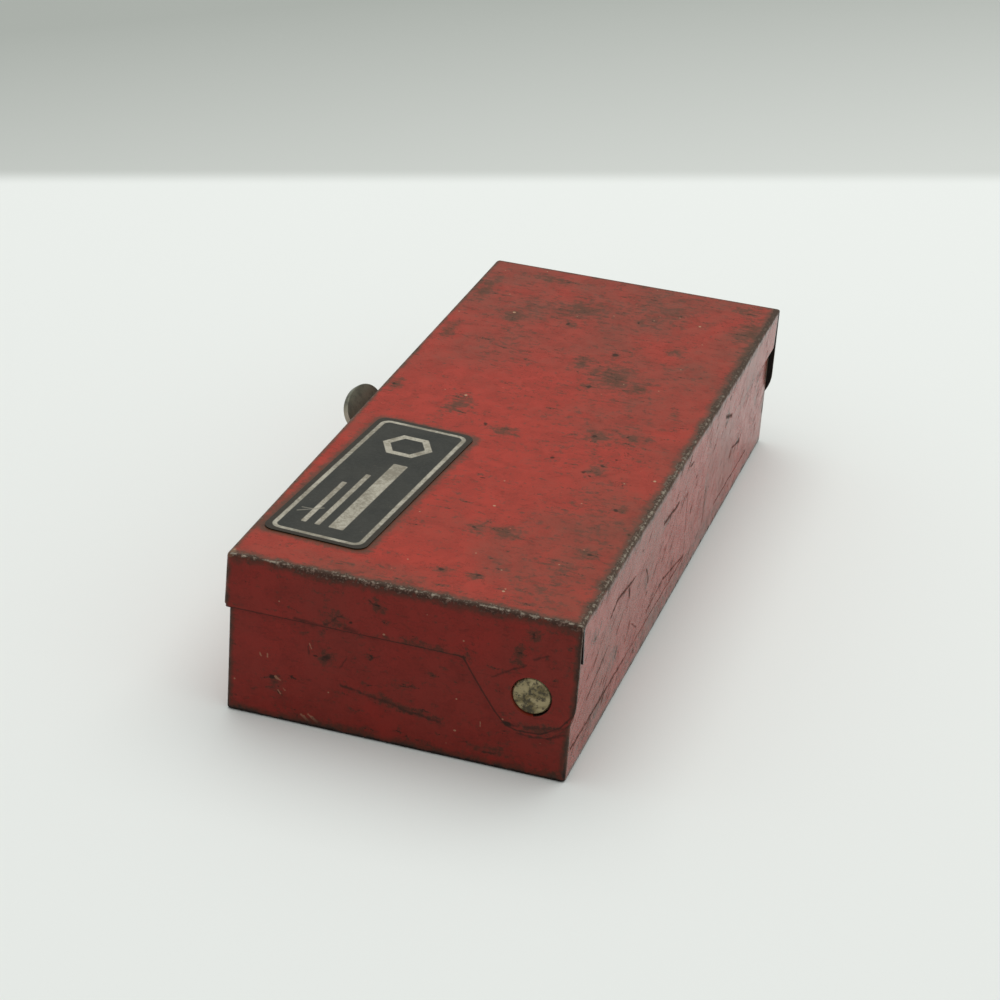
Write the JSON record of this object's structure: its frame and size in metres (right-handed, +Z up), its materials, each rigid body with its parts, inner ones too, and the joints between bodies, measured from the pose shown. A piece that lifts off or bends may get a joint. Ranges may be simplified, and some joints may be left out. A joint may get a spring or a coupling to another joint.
{
  "type": "metal latch box",
  "caption": "Small folded sheet steel tool case with a skirted lid riveted at both ends, a snap hasp with a thumb tab, and a plate on the lid.",
  "frame": {"origin": "centre of the tray's underside", "axes": "+X along the case, -Y towards the latch, +Z up through the lid"},
  "size_m": [0.19, 0.0851, 0.0383],
  "materials": {
    "red_enamel": "worn semi-gloss enamel",
    "bare_steel": "tarnished",
    "dark_steel": "browned, worn bright at the edges",
    "plate_print": "satin, printed in black and silver"
  },
  "bodies": {
    "tray": {"tray": "red_enamel", "hinge_rivet_right": "bare_steel", "hinge_rivet_left": "bare_steel", "latch_base": "dark_steel", "latch_rivets": "dark_steel", "latch_pin": "bare_steel"},
    "lid": {"lid": "red_enamel", "name_plate": "plate_print"},
    "latch": {"latch_hasp": "dark_steel"}
  },
  "joints": [
    {"name": "lid_hinge", "type": "hinge", "parent": "tray", "child": "lid", "pos_m": [0, 0.02955, 0.0193], "axis": [-1, 0, 0], "range_deg": [0, 90]},
    {"name": "latch_hinge", "type": "hinge", "parent": "tray", "child": "latch", "pos_m": [0, -0.04025, 0.012], "axis": [1, 0, 0], "range_deg": [0, 100]}
  ]
}
